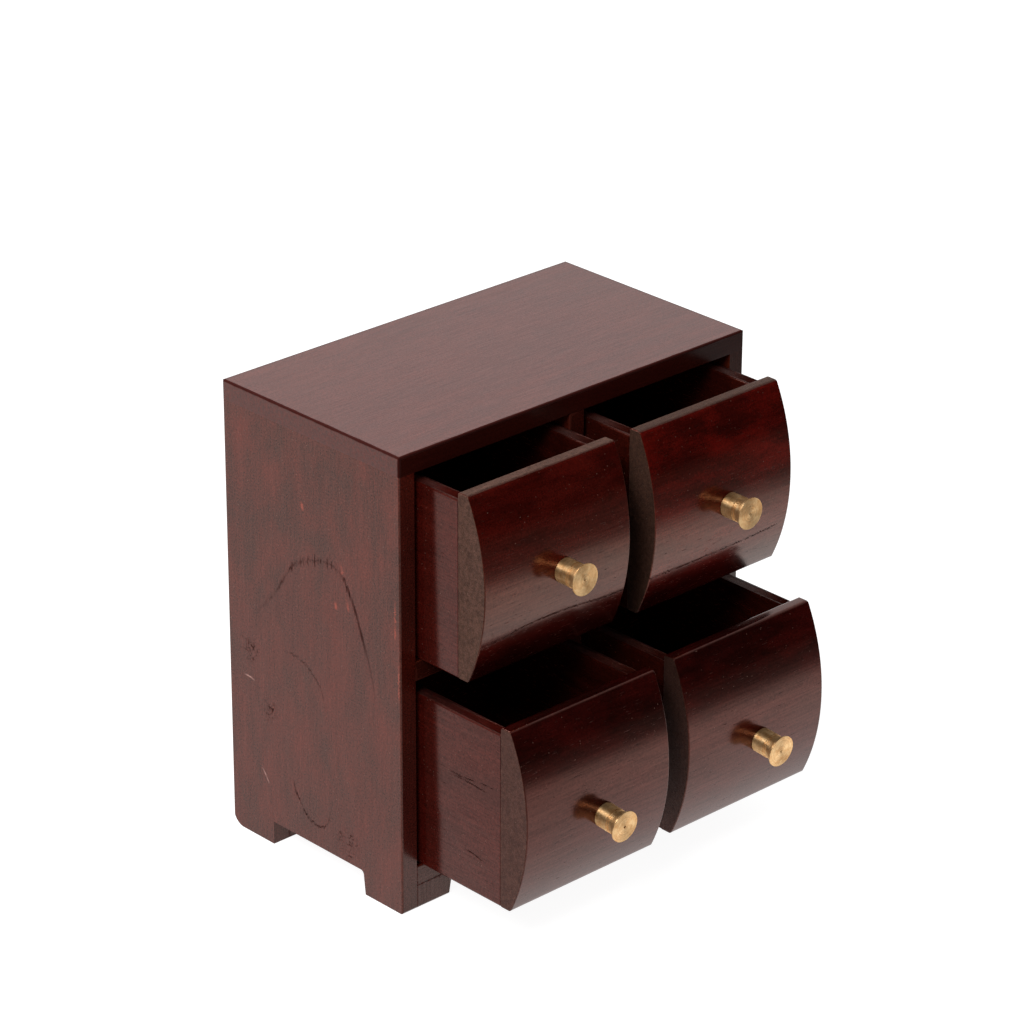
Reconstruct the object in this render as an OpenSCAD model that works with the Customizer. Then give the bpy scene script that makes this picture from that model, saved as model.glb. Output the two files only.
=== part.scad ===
// Desktop chest with four small bow-fronted drawers, two over two.
// Butt-glued stained hardwood carcass on bracket feet, grooved drawer boxes and turned brass knobs.
// Millimetres. X runs along the front, Y from front to back, Z up from the floor.

/* [Carcass] */
// Overall width across the side panels
carcass_w = 150; // [110:1:220]
// Depth from the front edges of the panels to the back
carcass_d = 83.5; // [70:0.5:160]
// Thickness of each side panel
side_t = 6.2; // [4:0.1:10]
// Thickness of the top panel, which lies over the side panels
top_t = 6.75; // [4:0.05:12]
// Thickness of the bottom panel, between the side panels
bottom_t = 6.75; // [4:0.05:12]
// Thickness of the shelf between the lower and the upper drawers
shelf_t = 6.65; // [4:0.05:12]
// Thickness of the upright dividers between left and right drawers
divider_t = 6.3; // [4:0.1:10]
// Thickness of the back panel, let in between the side panels
back_t = 4; // [3:0.5:8]
// Clear height of the bays for the upper drawers
upper_bay_h = 64.6; // [45:0.1:100]
// Clear height of the bays for the lower drawers
lower_bay_h = 66.1; // [45:0.1:100]
// Radius that eases the outer edges of the top and side panels
arris_r = 0.6; // [0.2:0.1:1.5]

/* [Feet] */
// Height of the feet, from the floor to the bottom panel
foot_h = 8.3; // [6:0.1:20]
// Length of a front foot along the side, where it meets the bottom panel
front_foot_l = 18.7; // [12:0.1:28]
// Length of a back foot along the side, where it meets the bottom panel
back_foot_l = 20.4; // [12:0.1:28]
// How much shorter the front foot is at the floor
front_foot_taper = 0.9; // [0:0.1:3]
// Width of a foot across the front at the floor, side panel included
foot_w = 20; // [14:0.5:30]
// How much wider the foot is where it meets the bottom panel
foot_w_taper = 1.5; // [0:0.1:4]
// Radius of the rounded heel at the back of each side panel
heel_r = 5; // [1:0.5:6]
// Radius of the toe at the front of each foot
toe_r = 0.8; // [0.2:0.1:2]
// Radius in the corner where the cut between the feet meets the front foot
foot_cut_r = 1.5; // [0.5:0.1:3]

/* [Back panel brads] */
// Diameter of a brad's shank
brad_d = 1.2; // [0.8:0.1:1.6]
// Diameter of a brad's head
brad_head_d = 2.4; // [2:0.1:3]
// Thickness of a brad's head, set flush with the back panel
brad_head_t = 0.6; // [0.4:0.1:1]
// Full length of a brad
brad_l = 15; // [10:1:25]

/* [Drawer boxes] */
// Gap on each side between a drawer and its bay
drawer_side_gap = 1.9; // [0.4:0.1:3]
// Running clearance between a drawer and the floor of its bay
drawer_floor_gap = 0.3; // [0.2:0.1:1]
// Gap over a drawer in the lower of the two bay heights
drawer_head_gap = 1.1; // [0.4:0.1:3]
// Gap behind a closed drawer
drawer_rear_gap = 1.5; // [0.5:0.1:5]
// How far the top edges of the boards lie below the top of the drawer front
board_drop = 2.6; // [0:0.1:8]
// Thickness of the drawer's side boards
drawer_side_t = 5; // [3:0.1:7]
// Thickness of the drawer's back board
drawer_back_t = 5; // [3:0.1:7]
// Thickness of the drawer's bottom board
drawer_bottom_t = 3; // [2:0.1:5]
// Height of the groove for the bottom board above the drawer's lower edge
groove_z = 2.5; // [2:0.1:6]
// Depth of the groove for the bottom board
groove_depth = 1.5; // [0.8:0.1:2]

/* [Drawer fronts] */
// Thickness of a drawer front along its top and bottom edges
front_edge_t = 4.6; // [3:0.1:8]
// How far the middle of the bowed face stands proud of its edges
front_bow = 7.6; // [4:0.1:12]

/* [Drawer positions] */
// How far the upper left drawer stands open
upper_left_open = 22; // [0:0.1:55]
// How far the upper right drawer stands open
upper_right_open = 22.9; // [0:0.1:55]
// How far the lower left drawer stands open
lower_left_open = 41.2; // [0:0.1:55]
// How far the lower right drawer stands open
lower_right_open = 39.9; // [0:0.1:55]

/* [Knobs] */
// Height of the knobs above the lower edge of the upper drawer fronts
upper_knob_z = 30.5; // [20:0.1:35]
// Height of the knobs above the lower edge of the lower drawer fronts
lower_knob_z = 25.3; // [20:0.1:35]
// How far the knobs stand to the right of the middle of their fronts
knob_x = 2.5; // [-10:0.1:10]
// Length of a knob from its seat to its face
knob_l = 9.4; // [8.5:0.1:16]
// Diameter of the barrel at the foot of a knob
knob_barrel_d = 8.4; // [6:0.1:9]
// Length of the barrel, up to the turned groove
knob_barrel_l = 5; // [3:0.1:6]
// Diameter at the bottom of the turned groove and of the waist above it
knob_waist_d = 8; // [5:0.1:8.2]
// Width of the turned groove, and of the ring above it
knob_ring_l = 0.4; // [0.3:0.1:1]
// Diameter of the ring between the groove and the flare
knob_ring_d = 8.3; // [6:0.1:8.5]
// Diameter of the knob's face
knob_face_d = 10.7; // [9:0.1:14]
// Thickness of the rim round the face
knob_rim_t = 0.4; // [0.3:0.1:1]
// Radius of the centre mark left by the lathe in the face
knob_mark_r = 0.5; // [0.3:0.1:1]

/* [Knob screws] */
// Diameter of the machine screw that holds a knob from inside the drawer
screw_d = 3; // [2:0.5:3.5]
// Diameter of the pan head
screw_head_d = 5.6; // [5:0.1:7]
// Height of the pan head
screw_head_h = 2; // [1.2:0.1:3]
// How far the screw reaches past the crest of the bowed front, inside the knob
screw_grip = 3.8; // [3:0.1:8]
// Clearance round the screw in the drawer front
screw_clear = 0.2; // [0.1:0.05:0.5]

/* [Hidden] */
$fn = 96;

// Small allowances: how far cutters pass a face, and the fit of pieces that are set in others
cut = 1;
fit = 0.05;

// Stain on the outside, bare tinted wood inside, and the metals
stain = "#4b1d18";
stain_dark = "#3a1210";
inner_wood = "#2c1310";
brass = "#c9a45c";
steel = "#8d8f92";

// Carcass levels, from the floor up
bottom_z = foot_h;
lower_bay_z = bottom_z + bottom_t;
shelf_z = lower_bay_z + lower_bay_h;
upper_bay_z = shelf_z + shelf_t;
top_z = upper_bay_z + upper_bay_h;
carcass_h = top_z + top_t;

// Across the carcass: two equal bays on either side of the dividers
inner_w = carcass_w - 2 * side_t;
bay_w = (inner_w - divider_t) / 2;
bay_x = (divider_t + bay_w) / 2;
inner_d = carcass_d - back_t;

// Drawers are all one size, so they fit the lower of the two bay heights
front_w = bay_w - 2 * drawer_side_gap;
front_h = min(upper_bay_h, lower_bay_h) - drawer_floor_gap - drawer_head_gap;
front_t = front_edge_t + front_bow;
bow_r = (pow(front_h / 2, 2) + pow(front_bow, 2)) / (2 * front_bow);
board_l = inner_d - drawer_rear_gap - front_edge_t;
board_h = front_h - board_drop;
box_inner_w = front_w - 2 * drawer_side_t;
groove_h = drawer_bottom_t + fit;
groove_w = box_inner_w + 2 * groove_depth;

// Knob: the flare is an arc that leaves the waist upright and meets the rim
knob_flare_z = knob_barrel_l + 2 * knob_ring_l;
knob_flare_h = knob_l - knob_rim_t - knob_flare_z;
knob_flare_out = (knob_face_d - knob_waist_d) / 2;
knob_flare_r = (pow(knob_flare_h, 2) + pow(knob_flare_out, 2)) / (2 * knob_flare_out);
knob_base_r = 0.4;

// Distance of the knob's seat from the axis of the bow: just under the bowed face, so that the
// flat foot of the knob seats all the way round
knob_seat = sqrt(pow(bow_r, 2) - pow(knob_barrel_d / 2, 2)) - fit;
screw_slot_w = 0.8;
screw_slot_depth = screw_head_h / 2;

// Brad places on the back panel: into the bottom panel and the shelf, then into the dividers
brad_places = concat(
    [for (z = [bottom_z + bottom_t / 2, shelf_z + shelf_t / 2], x = [-bay_x, 0, bay_x]) [x, z]],
    [for (z = [lower_bay_z + lower_bay_h / 2, upper_bay_z + upper_bay_h / 2]) [0, z]]
);

// One row per drawer: name, side of the divider, floor of its bay, opening, knob height
DRAWERS = [
    ["upper_left", -1, upper_bay_z, upper_left_open, upper_knob_z],
    ["upper_right", 1, upper_bay_z, upper_right_open, upper_knob_z],
    ["lower_left", -1, lower_bay_z, lower_left_open, lower_knob_z],
    ["lower_right", 1, lower_bay_z, lower_right_open, lower_knob_z]
];

// All knobs and screws are alike: the screw reaches its grip past the crest of the fronts, and
// the hole in the knob takes it on the front whose spot face lies deepest, with room at its end
screw_l = front_t + screw_grip;
screw_end_room = 1;
knob_hole_l = max([for (d = DRAWERS) head_seat(d[4])]) + screw_l - knob_seat + screw_end_room;

// One row per foot: name, side of the carcass, where it starts along the side, and its length
FEET = [
    ["front_left", -1, 0, front_foot_l],
    ["front_right", 1, 0, front_foot_l],
    ["back_left", -1, carcass_d - back_foot_l, back_foot_l],
    ["back_right", 1, carcass_d - back_foot_l, back_foot_l]
];

// The origin lies on the floor, centred on the width and on the length from the foremost knob to the back
front_reach = max([for (d = DRAWERS) d[3] - front_edge_t + knob_reach(d[4])]);
origin_y = (carcass_d - front_reach) / 2;

DRAWER_PIECES = ["front", "left_side", "right_side", "back", "bottom", "knob", "knob_screw"];

// Lean of a knob, which stands square to the bowed face: upwards above the crest, downwards below it
function knob_lean(knob_z) = asin((knob_z - front_h / 2) / bow_r);

// Distance from the axis of the bow, along the knob's, to the spot face under the screw's head,
// which just clears the flat back of the front
function head_seat(knob_z) =
    (bow_r - front_t) / cos(knob_lean(knob_z))
        + (screw_head_d / 2 + fit) * tan(abs(knob_lean(knob_z))) + fit;

// How far the lowest or highest point of the knob's rim stands in front of the back of its front
function knob_reach(knob_z) =
    front_t - bow_r + (knob_seat + knob_l) * cos(knob_lean(knob_z))
        + knob_face_d / 2 * abs(sin(knob_lean(knob_z)));

// Puts a piece drawn in carcass coordinates (front edges at Y = 0) into the part's frame
module in_carcass() {
    translate([0, -origin_y, 0]) children();
}

// Puts a piece drawn in drawer coordinates into its bay. A drawer's origin is the middle of the
// lower back edge of its front; closed, the front's thin edges are flush with the carcass.
module in_bay(drawer) {
    in_carcass()
        translate([drawer[1] * bay_x, front_edge_t - drawer[3], drawer[2] + drawer_floor_gap])
            children();
}

// Sliver between a corner at p, whose edges leave at angles a1 and a2, and the arc that rounds it.
// Its tip runs past the corner, so that it overlaps what it is cut from or added to.
module corner_sliver(p, a1, a2, r) {
    half = (a2 - a1) / 2;
    along = r / tan(half);
    inward = [cos(a1 + half), sin(a1 + half)];
    centre = p + r / sin(half) * inward;
    difference() {
        polygon([p - r * inward, p + along * [cos(a1), sin(a1)], centre, p + along * [cos(a2), sin(a2)]]);
        translate(centre) circle(r);
    }
}

// Rectangle from the origin with its two upper corners, and if asked its two lower ones, rounded
module eased_rectangle(w, h, r, lower = true) {
    difference() {
        square([w, h]);
        corner_sliver([w, h], 180, 270, r);
        corner_sliver([0, h], 270, 360, r);
        if (lower) {
            corner_sliver([0, 0], 0, 90, r);
            corner_sliver([w, 0], 90, 180, r);
        }
    }
}

// Puts a piece drawn up the Z axis, from the axis of the bow, on the line of a drawer's knob
module on_knob_line(knob_z) {
    translate([knob_x, bow_r - front_t, front_h / 2])
        rotate([90 - knob_lean(knob_z), 0, 0])
            children();
}

// Extrudes a profile drawn as (Y, Z) along X, from x
module along_x(x, length) {
    translate([x, 0, 0]) rotate([90, 0, 90]) linear_extrude(length) children();
}

// Extrudes a profile drawn as (X, Z) along Y, over the depth of the carcass
module along_depth() {
    translate([0, carcass_d, 0]) rotate([90, 0, 0]) linear_extrude(carcass_d) children();
}

// Board from its lowest corner, centred on X
module centred_board(w, y, d, z, h) {
    translate([-w / 2, y, z]) cube([w, d, h]);
}

// ---------- Carcass ----------

// Plan of the carcass with its four upright edges eased
module carcass_plan() {
    translate([-carcass_w / 2, 0]) eased_rectangle(carcass_w, carcass_d, arris_r);
}

module top_panel() {
    color(stain)
    intersection() {
        translate([0, 0, top_z]) linear_extrude(top_t) carcass_plan();
        along_depth() translate([-carcass_w / 2, 0]) eased_rectangle(carcass_w, carcass_h, arris_r);
        along_x(-carcass_w / 2, carcass_w) eased_rectangle(carcass_d, carcass_h, arris_r);
    }
}

// Side view of the gap between the feet, leaning with the taper of the front foot
module foot_gap() {
    polygon([
        [front_foot_l - front_foot_taper * (1 + cut / foot_h), -cut],
        [front_foot_l, foot_h],
        [carcass_d - back_foot_l, foot_h],
        [carcass_d - back_foot_l, -cut]
    ]);
}

// Side view of what the rounded toe of a front foot and heel of a back foot lose
module toe_and_heel() {
    corner_sliver([0, 0], 0, 90, toe_r);
    corner_sliver([carcass_d, 0], 90, 180, heel_r);
}

// Side view of a side panel: straight to the floor, cut away between the feet
module side_outline() {
    lean = atan2(foot_h, front_foot_taper);
    difference() {
        square([carcass_d, top_z]);
        difference() {
            foot_gap();
            corner_sliver([front_foot_l, foot_h], 180 + lean, 360, foot_cut_r);
        }
        toe_and_heel();
    }
}

// Side panel, side -1 on the left and 1 on the right, with its outer upright edges eased
module side_panel(side) {
    x = side > 0 ? carcass_w / 2 - side_t : -carcass_w / 2;
    color(stain)
    intersection() {
        along_x(x, side_t) side_outline();
        linear_extrude(top_z) carcass_plan();
    }
}

// Block glued inside a side panel's foot and under the bottom panel, tapered towards the floor
module foot_block(foot) {
    outer = carcass_w / 2 - side_t;
    inner_floor = carcass_w / 2 - foot_w;
    inner_top = inner_floor - foot_w_taper;
    color(stain_dark)
    intersection() {
        along_x(-carcass_w / 2, carcass_w)
            difference() {
                translate([foot[2], 0]) square([foot[3], foot_h]);
                foot_gap();
                toe_and_heel();
            }
        along_depth() scale([foot[1], 1]) polygon([
            [outer, 0], [outer, foot_h], [inner_top, foot_h], [inner_floor, 0]
        ]);
    }
}

module bottom_panel() {
    color(stain_dark)
    difference() {
        centred_board(inner_w, 0, inner_d, bottom_z, bottom_t);
        brads(fit);
    }
}

module middle_shelf() {
    color(stain_dark)
    difference() {
        centred_board(inner_w, 0, inner_d, shelf_z, shelf_t);
        brads(fit);
    }
}

// Upright divider in the bays that start at z
module divider(z, h) {
    color(stain_dark)
    difference() {
        centred_board(divider_t, 0, inner_d, z, h);
        brads(fit);
    }
}

module back_panel() {
    color(stain_dark)
    difference() {
        centred_board(inner_w, inner_d, back_t, bottom_z, top_z - bottom_z);
        brads(fit);
    }
}

// Brads driven from the back; with clear over 0, the holes that take them
module brads(clear = 0) {
    color(steel)
    for (place = brad_places)
        translate([place[0], carcass_d, place[1]]) rotate([90, 0, 0]) {
            translate([0, 0, clear > 0 ? -cut : 0])
                cylinder(d = brad_head_d + 2 * clear, h = brad_head_t + (clear > 0 ? cut : 0));
            cylinder(d = brad_d + 2 * clear, h = brad_l + clear);
        }
}

// ---------- Drawers ----------

// Slab bowed to an arc from top to bottom, straight across, with the knob's seat, the screw hole
// and its spot face, and a stopped groove for the bottom board in its back
module drawer_front(knob_z) {
    color(stain_dark)
    difference() {
        intersection() {
            centred_board(front_w, -front_t, front_t, 0, front_h);
            translate([-front_w / 2, bow_r - front_t, front_h / 2]) rotate([0, 90, 0])
                cylinder(r = bow_r, h = front_w, $fn = 240);
        }
        centred_board(groove_w, -groove_depth, groove_depth + cut, groove_z, groove_h);
        on_knob_line(knob_z) {
            translate([0, 0, knob_seat])
                cylinder(d = knob_barrel_d + 2 * fit, h = front_bow);
            translate([0, 0, head_seat(knob_z) - cut])
                cylinder(d = screw_d + 2 * screw_clear, h = front_t + 2 * cut);
            translate([0, 0, head_seat(knob_z) - screw_head_h])
                cylinder(d = screw_head_d + 2 * fit, h = screw_head_h);
        }
    }
}

// Side board, side -1 on the left and 1 on the right, grooved inside for the bottom board
module drawer_side(side) {
    color(stain)
    scale([side, 1, 1])
    difference() {
        translate([front_w / 2 - drawer_side_t, 0, 0]) cube([drawer_side_t, board_l, board_h]);
        translate([0, -cut, groove_z]) cube([groove_w / 2, board_l + 2 * cut, groove_h]);
    }
}

// Back board between the sides, standing on the bottom board
module drawer_back() {
    stand_z = groove_z + drawer_bottom_t;
    color(inner_wood)
    centred_board(box_inner_w, board_l - drawer_back_t, drawer_back_t, stand_z, board_h - stand_z);
}

// Bottom board, in the grooves of the front and sides and under the back board
module drawer_bottom() {
    color(inner_wood)
    centred_board(groove_w - 2 * fit, fit - groove_depth, board_l + groove_depth - fit,
        groove_z, drawer_bottom_t);
}

// Half section of the knob from its seat up: barrel, groove, ring, and flare out to the rim
module knob_section() {
    difference() {
        square([knob_face_d / 2, knob_l]);
        translate([knob_barrel_d / 2, 0]) square([knob_face_d, knob_barrel_l]);
        corner_sliver([knob_barrel_d / 2, 0], 90, 180, knob_base_r);
        translate([knob_waist_d / 2, knob_barrel_l]) square([knob_face_d, knob_ring_l]);
        translate([knob_ring_d / 2, knob_barrel_l]) square([knob_face_d, 2 * knob_ring_l]);
        intersection() {
            translate([knob_waist_d / 2 + knob_flare_r, knob_flare_z]) circle(knob_flare_r, $fn = 240);
            translate([knob_waist_d / 2, knob_flare_z]) square([knob_face_d, knob_flare_h]);
        }
        translate([0, -cut]) square([screw_d / 2 + fit, knob_hole_l + cut]);
    }
}

// Turned brass knob on the bowed face, with the lathe's centre mark in its face
module knob(knob_z) {
    color(brass)
    on_knob_line(knob_z) translate([0, 0, knob_seat])
    difference() {
        rotate_extrude() knob_section();
        translate([0, 0, knob_l]) sphere(r = knob_mark_r, $fn = 32);
    }
}

// Slotted pan-head screw from inside the drawer into the knob
module knob_screw(knob_z) {
    head_edge_r = screw_head_h / 2;
    color(steel)
    on_knob_line(knob_z) translate([0, 0, head_seat(knob_z)]) {
        cylinder(d = screw_d, h = screw_l);
        difference() {
            rotate_extrude()
            difference() {
                translate([0, -screw_head_h]) square([screw_head_d / 2, screw_head_h]);
                corner_sliver([screw_head_d / 2, -screw_head_h], 90, 180, head_edge_r);
            }
            translate([-screw_head_d, -screw_slot_w / 2, -screw_head_h - cut])
                cube([2 * screw_head_d, screw_slot_w, screw_slot_depth + cut]);
        }
    }
}

// ---------- Assembly ----------

in_carcass() {
    top_panel();
    side_panel(-1);  // left_side_panel
    side_panel(1);  // right_side_panel
    bottom_panel();
    middle_shelf();
    divider(upper_bay_z, upper_bay_h);  // upper_divider
    divider(lower_bay_z, lower_bay_h);  // lower_divider
    back_panel();
    brads();  // back_panel_brads
    for (foot = FEET)
        foot_block(foot);
}

for (drawer = DRAWERS) {
    name = str(drawer[0], "_drawer_");
    knob_z = drawer[4];
    in_bay(drawer) {
        drawer_front(knob_z);
        drawer_side(-1);
        drawer_side(1);
        drawer_back();
        drawer_bottom();
        knob(knob_z);
        knob_screw(knob_z);
    }
}
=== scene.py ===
import math

import bpy
from mathutils import Matrix, Vector


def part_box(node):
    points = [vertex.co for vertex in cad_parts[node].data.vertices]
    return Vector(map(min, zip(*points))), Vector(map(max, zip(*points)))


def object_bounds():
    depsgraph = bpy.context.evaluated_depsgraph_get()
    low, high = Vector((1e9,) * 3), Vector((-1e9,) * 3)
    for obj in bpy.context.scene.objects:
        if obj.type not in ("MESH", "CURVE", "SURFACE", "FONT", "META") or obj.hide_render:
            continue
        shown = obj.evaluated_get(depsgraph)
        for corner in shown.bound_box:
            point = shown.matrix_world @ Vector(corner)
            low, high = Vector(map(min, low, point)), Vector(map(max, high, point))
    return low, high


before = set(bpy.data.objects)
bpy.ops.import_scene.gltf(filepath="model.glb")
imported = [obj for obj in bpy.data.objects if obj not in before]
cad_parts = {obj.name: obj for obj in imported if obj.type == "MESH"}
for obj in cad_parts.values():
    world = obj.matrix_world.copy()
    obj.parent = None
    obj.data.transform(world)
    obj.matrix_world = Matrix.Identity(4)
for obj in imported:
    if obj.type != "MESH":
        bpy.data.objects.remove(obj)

CAD_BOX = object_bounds()

# ---------- Camera ----------
# A long lens, looking down on the front left corner. It is placed from the corner of the carcass
# where the front, the left side and the floor meet.

MM = 0.001
carcass_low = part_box("left_side_panel")[0]
front_left_corner = Vector((carcass_low.x, carcass_low.y, 0))
camera_from_corner = Vector((-777.2, -875.8, 682.5)) * MM
camera_yaw = math.radians(43.26514)
camera_pitch = math.radians(24.81319)
camera_roll = math.radians(0.20668)
sensor_width_mm = 36
focal_length_px = 4241.28
image_size_px = 1024

camera = bpy.data.objects.new("camera", bpy.data.cameras.new("camera"))
camera.data.sensor_width = sensor_width_mm
camera.data.lens = focal_length_px * sensor_width_mm / image_size_px
camera.data.clip_start = 0.1
camera.data.clip_end = 10
camera.matrix_world = (
    Matrix.Translation(front_left_corner + camera_from_corner)
    @ Matrix.Rotation(-camera_yaw, 4, "Z")
    @ Matrix.Rotation(math.radians(90) - camera_pitch, 4, "X")
    @ Matrix.Rotation(camera_roll, 4, "Z")
)
bpy.context.scene.collection.objects.link(camera)
bpy.context.scene.camera = camera
bpy.context.scene.view_settings.view_transform = "Standard"

# ---------- Studio ----------
# A pale table in a room that is bright behind the chest and dim where its drawers open. One softbox
# hangs over the back left, a small one stands behind, and one to the left reaches the knobs.


def add(tree, kind, links=None, **settings):
    """Adds a node, sets its properties, and sets or links its inputs by name or number."""
    node = tree.nodes.new(kind)
    for key, value in settings.items():
        setattr(node, key, value)
    for key, value in (links or {}).items():
        if isinstance(value, bpy.types.NodeSocket):
            tree.links.new(value, node.inputs[key])
        else:
            node.inputs[key].default_value = value
    return node


def empty_tree(owner):
    """Turns on the nodes of a material or a world and clears them away."""
    owner.use_nodes = True
    owner.node_tree.nodes.clear()
    return owner.node_tree


def linear(hex_colour):
    """sRGB hex, such as "#5a2018", to linear RGBA."""
    parts = [int(hex_colour[i : i + 2], 16) / 255 for i in (1, 3, 5)]
    return [c / 12.92 if c <= 0.04045 else ((c + 0.055) / 1.055) ** 2.4 for c in parts] + [1.0]


def softbox(name, direction, distance, size, watts):
    """Square area light at a distance from the middle of the object, facing it."""
    middle = (CAD_BOX[0] + CAD_BOX[1]) / 2
    data = bpy.data.lights.new(name, "AREA")
    data.shape = "SQUARE"
    data.size = size
    data.energy = watts
    light = bpy.data.objects.new(name, data)
    light.location = middle + Vector(direction).normalized() * distance
    light.rotation_euler = (middle - light.location).to_track_quat("-Z", "Y").to_euler()
    bpy.context.scene.collection.objects.link(light)


softbox("overhead_softbox", (-0.38, 0.42, 0.82), distance=1.2, size=0.36, watts=8)
softbox("back_softbox", (-0.21, 0.66, 0.72), distance=1.5, size=0.2, watts=1.5)
softbox("left_softbox", (-0.68, -0.28, 0.68), distance=1.2, size=0.42, watts=7)

# The room, by direction: bright towards bright_side, and dim towards the front of the chest.
bright_side = Vector((0.62, 0.68, 0.42)).normalized()
dark_turn, bright_turn = 0.45, 0.88
front_heading, back_heading = -0.45, 0.25
front_level, back_level = 0.01, 0.4
diffuse_level = 0.35

world = bpy.data.worlds.new("studio")
bpy.context.scene.world = world
tree = empty_tree(world)
path = add(tree, "ShaderNodeLightPath")
direction = add(tree, "ShaderNodeTexCoord")
turned = add(
    tree,
    "ShaderNodeVectorMath",
    {0: direction.outputs["Generated"], 1: bright_side},
    operation="DOT_PRODUCT",
)
room = add(tree, "ShaderNodeValToRGB", {"Fac": turned.outputs["Value"]})
for stop, turn, level in zip(room.color_ramp.elements, (dark_turn, bright_turn), (0, 1)):
    stop.position = turn
    stop.color = (level, level, level, 1)
heading = add(tree, "ShaderNodeSeparateXYZ", {0: direction.outputs["Generated"]})
dim_front = add(
    tree,
    "ShaderNodeMapRange",
    {
        "Value": heading.outputs["Y"],
        "From Min": front_heading,
        "From Max": back_heading,
        "To Min": front_level,
        "To Max": back_level,
    },
    interpolation_type="SMOOTHSTEP",
)
room_light = add(
    tree,
    "ShaderNodeMath",
    {0: room.outputs["Color"], 1: dim_front.outputs[0]},
    operation="MAXIMUM",
)
plain = add(
    tree,
    "ShaderNodeMath",
    {0: path.outputs["Is Diffuse Ray"], 1: diffuse_level},
    operation="MULTIPLY",
)
room_light = add(
    tree,
    "ShaderNodeMath",
    {0: room_light.outputs[0], 1: plain.outputs[0]},
    operation="MAXIMUM",
)
shown = add(
    tree,
    "ShaderNodeMix",
    {0: path.outputs["Is Camera Ray"], 6: room_light.outputs[0], 7: (1, 1, 1, 1)},
    data_type="RGBA",
)
background = add(tree, "ShaderNodeBackground", {"Color": shown.outputs[2]})
add(tree, "ShaderNodeOutputWorld", {"Surface": background.outputs[0]})

# White laminate: flat and even, with a faint shadow. What the lacquer mirrors of it is given as
# (metres towards the front right, level), because the light falls off along the table. It falls
# off towards the front left too, and the chest shades the table under it.
table_size = 4.0
mirrored_light = [
    (-0.1, 1.05), (0.0, 1.3), (0.1, 1.25), (0.2, 1.4),
    (0.27, 1.05), (0.32, 0.42), (0.38, 0.12), (0.46, 0.03),
]
ramp_start, ramp_end = -0.1, 0.5
front_right = Vector((0.68, -0.73, 0))
front_left = Vector((-0.66, -0.75, 0))
left_fade_start, left_fade_end, left_fade_level = 0.035, 0.26, 0.4
middle_of_chest = (0, -0.04, 0)
shade_start, shade_end = 0.05, 0.26
level_under, level_beyond = 0.06, 0.5
glow_share = 0.85
floor_white = 0.93

bpy.ops.mesh.primitive_plane_add(size=table_size)
table = bpy.context.object
table.name = "table"
white = bpy.data.materials.new("white_laminate")
tree = empty_tree(white)
path = add(tree, "ShaderNodeLightPath")
place = add(tree, "ShaderNodeTexCoord")
ahead = add(
    tree,
    "ShaderNodeVectorMath",
    {0: place.outputs["Object"], 1: front_right},
    operation="DOT_PRODUCT",
)
run = add(
    tree,
    "ShaderNodeMapRange",
    {"Value": ahead.outputs["Value"], "From Min": ramp_start, "From Max": ramp_end},
)
brightest = max(level for _, level in mirrored_light)
fall = add(tree, "ShaderNodeValToRGB", {"Fac": run.outputs[0]})
while len(fall.color_ramp.elements) < len(mirrored_light):
    fall.color_ramp.elements.new(0.5)
for stop, (distance, level) in zip(fall.color_ramp.elements, mirrored_light):
    stop.position = (distance - ramp_start) / (ramp_end - ramp_start)
    stop.color = [level / brightest] * 3 + [1]
near = add(
    tree,
    "ShaderNodeVectorMath",
    {0: place.outputs["Object"], 1: front_left},
    operation="DOT_PRODUCT",
)
dimmer = add(
    tree,
    "ShaderNodeMapRange",
    {
        "Value": near.outputs["Value"],
        "From Min": left_fade_start,
        "From Max": left_fade_end,
        "To Min": 1,
        "To Max": left_fade_level,
    },
    interpolation_type="SMOOTHSTEP",
)
glow = add(tree, "ShaderNodeMath", {0: dimmer.outputs[0], 1: brightest}, operation="MULTIPLY")
matt = add(tree, "ShaderNodeBsdfDiffuse", {"Color": linear("#e8e8e8")})
under_chest = add(
    tree,
    "ShaderNodeVectorMath",
    {0: place.outputs["Object"], 1: middle_of_chest},
    operation="DISTANCE",
)
shade = add(
    tree,
    "ShaderNodeMapRange",
    {
        "Value": under_chest.outputs["Value"],
        "From Min": shade_start,
        "From Max": shade_end,
        "To Min": level_under,
        "To Max": level_beyond,
    },
    interpolation_type="SMOOTHSTEP",
)
not_diffuse = add(
    tree,
    "ShaderNodeMath",
    {0: 1, 1: path.outputs["Is Diffuse Ray"]},
    operation="SUBTRACT",
)
shade = add(
    tree,
    "ShaderNodeMath",
    {0: shade.outputs[0], 1: not_diffuse.outputs[0]},
    operation="MAXIMUM",
)
glow = add(tree, "ShaderNodeMath", {0: glow.outputs[0], 1: shade.outputs[0]}, operation="MULTIPLY")
lit = add(tree, "ShaderNodeEmission", {"Color": fall.outputs["Color"], "Strength": glow.outputs[0]})
for_object = add(
    tree,
    "ShaderNodeMixShader",
    {0: glow_share, 1: matt.outputs[0], 2: lit.outputs[0]},
)
camera_white = add(tree, "ShaderNodeEmission", {"Color": (1, 1, 1, 1), "Strength": floor_white})
shadowed = add(tree, "ShaderNodeBsdfDiffuse", {"Color": linear("#8a8a8a")})
faint = add(tree, "ShaderNodeAddShader", {0: camera_white.outputs[0], 1: shadowed.outputs[0]})
seen = add(
    tree,
    "ShaderNodeMixShader",
    {0: path.outputs["Is Camera Ray"], 1: for_object.outputs[0], 2: faint.outputs[0]},
)
add(tree, "ShaderNodeOutputMaterial", {"Surface": seen.outputs[0]})
table.data.materials.append(white)

# ---------- Side panels ----------
# Two flat-sawn mahogany boards with the grain upright, cut away below into bracket feet. They are
# stained dark, brushed with a satin lacquer and glued to the ends of the shelves.


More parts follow.
